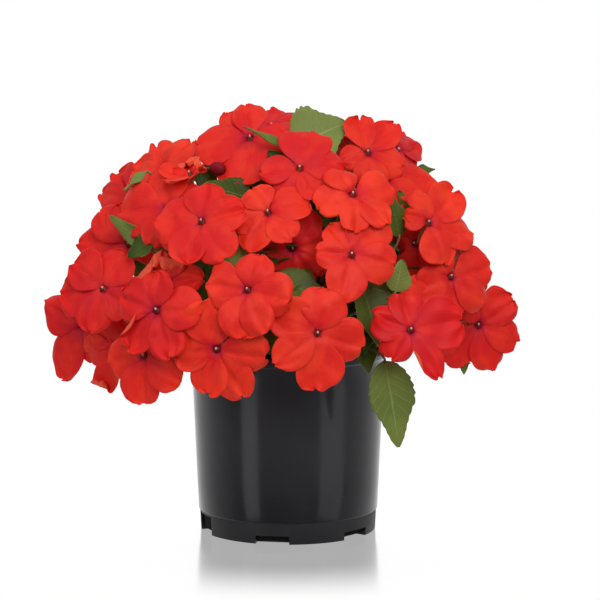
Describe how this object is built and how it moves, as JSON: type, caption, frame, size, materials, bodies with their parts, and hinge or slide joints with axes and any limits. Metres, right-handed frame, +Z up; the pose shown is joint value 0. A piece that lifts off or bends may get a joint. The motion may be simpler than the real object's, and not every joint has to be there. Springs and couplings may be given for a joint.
{
  "type": "busy lizzie plant in a nursery pot",
  "caption": "Potted busy lizzie: a dense ball of flat scarlet blooms on succulent leafy stems, rooted in soil in a thin black round pot.",
  "frame": {"origin": "middle of the pot's base, on the surface that it stands on", "axes": "+Z up along the pot's axis, -Y towards the plant's front, +X to the viewer's right"},
  "size_m": [0.2914, 0.2517, 0.2552],
  "materials": {
    "pot": "semi-gloss black injection moulding",
    "soil": "matt, crumbly peat potting mix",
    "foliage": "satin living leaf and stem",
    "petals": "velvety living petal"
  },
  "bodies": {
    "root": {"pot": "pot", "soil": "soil", "leafy_stem_01": "foliage", "leafy_stem_02": "foliage", "leafy_stem_03": "foliage", "leafy_stem_04": "foliage", "leafy_stem_05": "foliage", "leafy_stem_06": "foliage", "leafy_stem_07": "foliage", "leafy_stem_08": "foliage", "leafy_stem_09": "foliage", "bloom_01": "petals", "bloom_02": "petals", "bloom_03": "petals", "bloom_04": "petals", "bloom_05": "petals", "bloom_06": "petals", "bloom_07": "petals", "bloom_08": "petals", "bloom_09": "petals", "bloom_10": "petals", "bloom_11": "petals", "bloom_12": "petals", "bloom_13": "petals", "bloom_14": "petals", "bloom_15": "petals", "bloom_16": "petals", "bloom_17": "petals", "bloom_18": "petals", "bloom_19": "petals", "bloom_20": "petals", "bloom_21": "petals", "bloom_22": "petals", "bloom_23": "petals", "bloom_24": "petals", "bloom_25": "petals", "bloom_26": "petals", "bloom_27": "petals", "bloom_28": "petals", "bloom_29": "petals", "bloom_30": "petals", "bloom_31": "petals", "bloom_32": "petals", "bloom_33": "petals", "bloom_34": "petals", "bloom_35": "petals", "bloom_36": "petals", "bloom_37": "petals", "bloom_38": "petals", "bloom_39": "petals", "bloom_40": "petals", "bloom_41": "petals", "bloom_42": "petals", "bloom_43": "petals", "bloom_44": "petals", "bloom_45": "petals", "bloom_46": "petals", "bloom_47": "petals", "bloom_48": "petals"}
  },
  "joints": []
}
